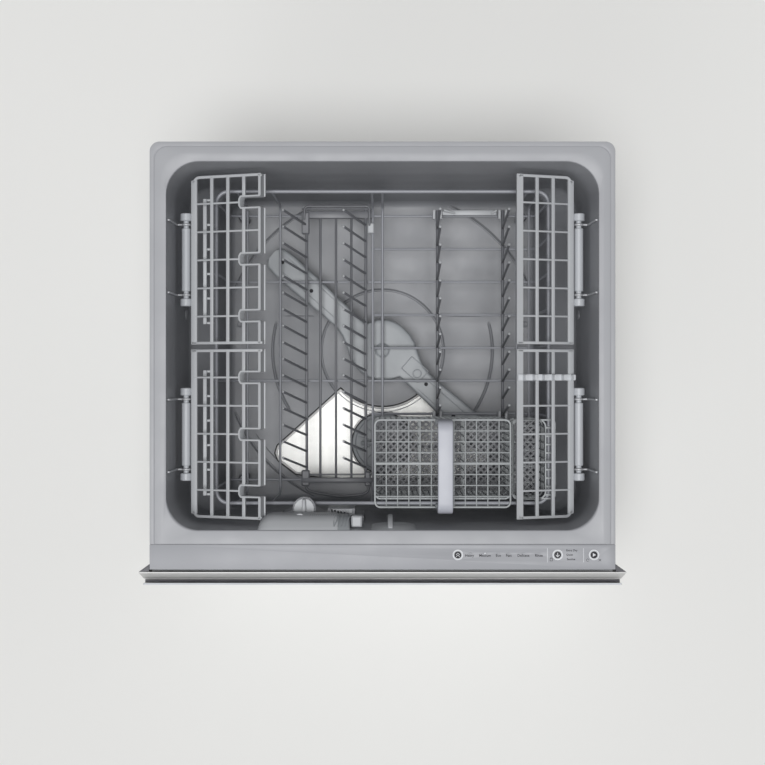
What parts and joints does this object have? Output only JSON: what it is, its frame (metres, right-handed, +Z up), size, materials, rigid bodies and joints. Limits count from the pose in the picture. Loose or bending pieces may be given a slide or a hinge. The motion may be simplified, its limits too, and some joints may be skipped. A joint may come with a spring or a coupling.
{
  "type": "dishwasher drawer",
  "caption": "Pull-out dishwasher drawer with a washing tub, racks with folding tines, folding cup racks, baskets, spray arm, wash pump and telescopic runners.",
  "frame": {"origin": "middle of the bottom of the whole drawer's box, runners closed", "axes": "+Z up, the front panel faces -Y, +X to the right seen from the front"},
  "size_m": [0.599, 0.549, 0.3953],
  "materials": {
    "tub_grey": "satin moulded plastic",
    "fascia_grey": "satin silver-grey plastic",
    "stainless": "brushed lengthways",
    "filter_steel": "bright perforated sheet",
    "galvanised": "zinc coated",
    "runner_steel": "bright zinc",
    "dark_cap": "dark grey plastic",
    "felt": "bitumen felt",
    "board_green": "lacquered circuit board",
    "light_plastic": "clear-white light pipe",
    "button_black": "dark satin plastic",
    "rubber_black": "black rubber",
    "pump_black": "glass-filled black plastic",
    "heater_metal": "heat-tinted tube",
    "shaft_steel": "turned",
    "pale_plastic": "natural plastic",
    "arm_grey": "satin grey plastic",
    "filter_grey": "dark grey plastic",
    "wire_grey": "grey nylon coating on steel wire",
    "insert_grey": "dark grey plastic",
    "rack_plastic": "satin light grey plastic",
    "basket_grey": "satin grey plastic",
    "handle_lavender": "satin pale grey plastic",
    "hinge_silver": "satin silver plastic",
    "wire_steel": "bright steel wire"
  },
  "bodies": {
    "fixed_runners": {"outer_runners": "runner_steel"},
    "middle_runners": {"middle_runners": "runner_steel"},
    "drawer": {"tub": "tub_grey", "fascia": "fascia_grey", "door_edge_trim": "stainless", "door_end_caps": "dark_cap", "front_panel": "stainless", "panel_insulation": "felt", "panel_frame": "galvanised", "control_board": "board_green", "button_rings": "light_plastic", "indicator_lights": "light_plastic", "base_pan": "galvanised", "tub_supports": "rubber_black", "sump": "pump_black", "heater_element": "heater_metal", "wash_motor": "pump_black", "drain_pump": "pump_black", "inlet_pipe": "pump_black", "filter_plate": "filter_steel", "spray_hub": "arm_grey", "dispenser_housing": "tub_grey", "rack_rim_wire": "wire_grey", "rack_long_wires": "wire_grey", "rack_cross_wires": "wire_grey", "rack_feet": "insert_grey", "side_combs": "rack_plastic", "left_insert_frame": "insert_grey", "right_insert_frame": "rack_plastic", "side_basket": "basket_grey", "rack_hooks": "wire_steel", "inner_runners": "runner_steel", "runner_brackets": "galvanised"},
    "cycle_button": {"cycle_button": "button_black"},
    "option_button": {"option_button": "button_black"},
    "start_button": {"start_button": "button_black"},
    "pump": {"pump_rotor": "shaft_steel", "impeller": "pale_plastic"},
    "drain_filter": {"drain_filter": "filter_grey"},
    "spray_arm": {"spray_arm_lower": "arm_grey", "spray_arm_upper": "arm_grey"},
    "detergent_lid": {"detergent_lid": "rack_plastic"},
    "rinse_aid_cap": {"rinse_aid_cap": "rack_plastic"},
    "tine_row_1": {"tine_row_1": "insert_grey"},
    "tine_row_2": {"tine_row_2": "insert_grey"},
    "tine_row_3": {"tine_row_3": "insert_grey"},
    "tine_row_4": {"tine_row_4": "insert_grey"},
    "cutlery": {"cutlery_basket": "basket_grey", "basket_lid": "basket_grey", "basket_handle": "handle_lavender"},
    "cup_rack_back_left": {"cup_rack_back_left": "rack_plastic", "hinge_bar_back_left": "hinge_silver"},
    "cup_rack_front_left": {"cup_rack_front_left": "rack_plastic", "hinge_bar_front_left": "hinge_silver"},
    "cup_rack_back_right": {"cup_rack_back_right": "rack_plastic", "hinge_bar_back_right": "hinge_silver"},
    "cup_rack_front_right": {"cup_rack_front_right": "rack_plastic", "hinge_bar_front_right": "hinge_silver", "utensil_clip": "rack_plastic"}
  },
  "joints": [
    {"name": "drawer_slide", "type": "slide", "parent": "fixed_runners", "child": "drawer", "axis": [0, -1, 0], "range_m": [0, 0.52]},
    {"name": "middle_slide", "type": "slide", "parent": "fixed_runners", "child": "middle_runners", "axis": [0, -1, 0], "range_m": [0, 0.26]},
    {"name": "cycle_press", "type": "slide", "parent": "drawer", "child": "cycle_button", "axis": [0, 0, -1], "range_m": [0, 0.0008], "stiffness_N_per_m": 600, "springref_m": -0.001},
    {"name": "option_press", "type": "slide", "parent": "drawer", "child": "option_button", "axis": [0, 0, -1], "range_m": [0, 0.0008], "stiffness_N_per_m": 600, "springref_m": -0.001},
    {"name": "start_press", "type": "slide", "parent": "drawer", "child": "start_button", "axis": [0, 0, -1], "range_m": [0, 0.0008], "stiffness_N_per_m": 600, "springref_m": -0.001},
    {"name": "pump_spin", "type": "hinge", "parent": "drawer", "child": "pump", "pos_m": [0, 0.02355, 0.05], "axis": [0, 0, 1], "continuous": true},
    {"name": "drain_filter_turn", "type": "hinge", "parent": "drawer", "child": "drain_filter", "pos_m": [0, -0.10795, 0.106], "axis": [0, 0, 1], "range_deg": [0, 90]},
    {"name": "spray_arm_spin", "type": "hinge", "parent": "drawer", "child": "spray_arm", "pos_m": [0, 0.02355, 0.135], "axis": [0, 0, 1], "continuous": true},
    {"name": "detergent_lid_turn", "type": "hinge", "parent": "drawer", "child": "detergent_lid", "pos_m": [-0.052, -0.18915, 0.3388], "axis": [1, 0, 0], "range_deg": [0, 85]},
    {"name": "rinse_aid_cap_turn", "type": "hinge", "parent": "drawer", "child": "rinse_aid_cap", "pos_m": [-0.099, -0.18095, 0.34], "axis": [0, 0, 1], "range_deg": [0, 90]},
    {"name": "tine_row_1_fold", "type": "hinge", "parent": "drawer", "child": "tine_row_1", "pos_m": [-0.1046, 0.02355, 0.1757], "axis": [0, -1, 0], "range_deg": [0, 50]},
    {"name": "tine_row_2_fold", "type": "hinge", "parent": "drawer", "child": "tine_row_2", "pos_m": [-0.023, 0.02355, 0.1757], "axis": [0, -1, 0], "range_deg": [0, 50]},
    {"name": "tine_row_3_fold", "type": "hinge", "parent": "drawer", "child": "tine_row_3", "pos_m": [0.0757, 0.02355, 0.1757], "axis": [0, -1, 0], "range_deg": [0, 60]},
    {"name": "tine_row_4_fold", "type": "hinge", "parent": "drawer", "child": "tine_row_4", "pos_m": [0.1659, 0.02355, 0.1757], "axis": [0, -1, 0], "range_deg": [0, 80]},
    {"name": "basket_lift", "type": "slide", "parent": "drawer", "child": "cutlery", "axis": [0, 0, 1], "range_m": [0, 0.2]},
    {"name": "cup_rack_back_left_fold", "type": "hinge", "parent": "drawer", "child": "cup_rack_back_left", "pos_m": [-0.25, 0.13, 0.329], "axis": [0, -1, 0], "range_deg": [0, 55]},
    {"name": "cup_rack_front_left_fold", "type": "hinge", "parent": "drawer", "child": "cup_rack_front_left", "pos_m": [-0.25, -0.08, 0.329], "axis": [0, -1, 0], "range_deg": [0, 55]},
    {"name": "cup_rack_back_right_fold", "type": "hinge", "parent": "drawer", "child": "cup_rack_back_right", "pos_m": [0.25, 0.13, 0.329], "axis": [0, 1, 0], "range_deg": [0, 55]},
    {"name": "cup_rack_front_right_fold", "type": "hinge", "parent": "drawer", "child": "cup_rack_front_right", "pos_m": [0.25, -0.08, 0.329], "axis": [0, 1, 0], "range_deg": [0, 55]}
  ],
  "couplings": [
    {"joint": "middle_slide", "follows": "drawer_slide", "ratio": 0.5}
  ]
}
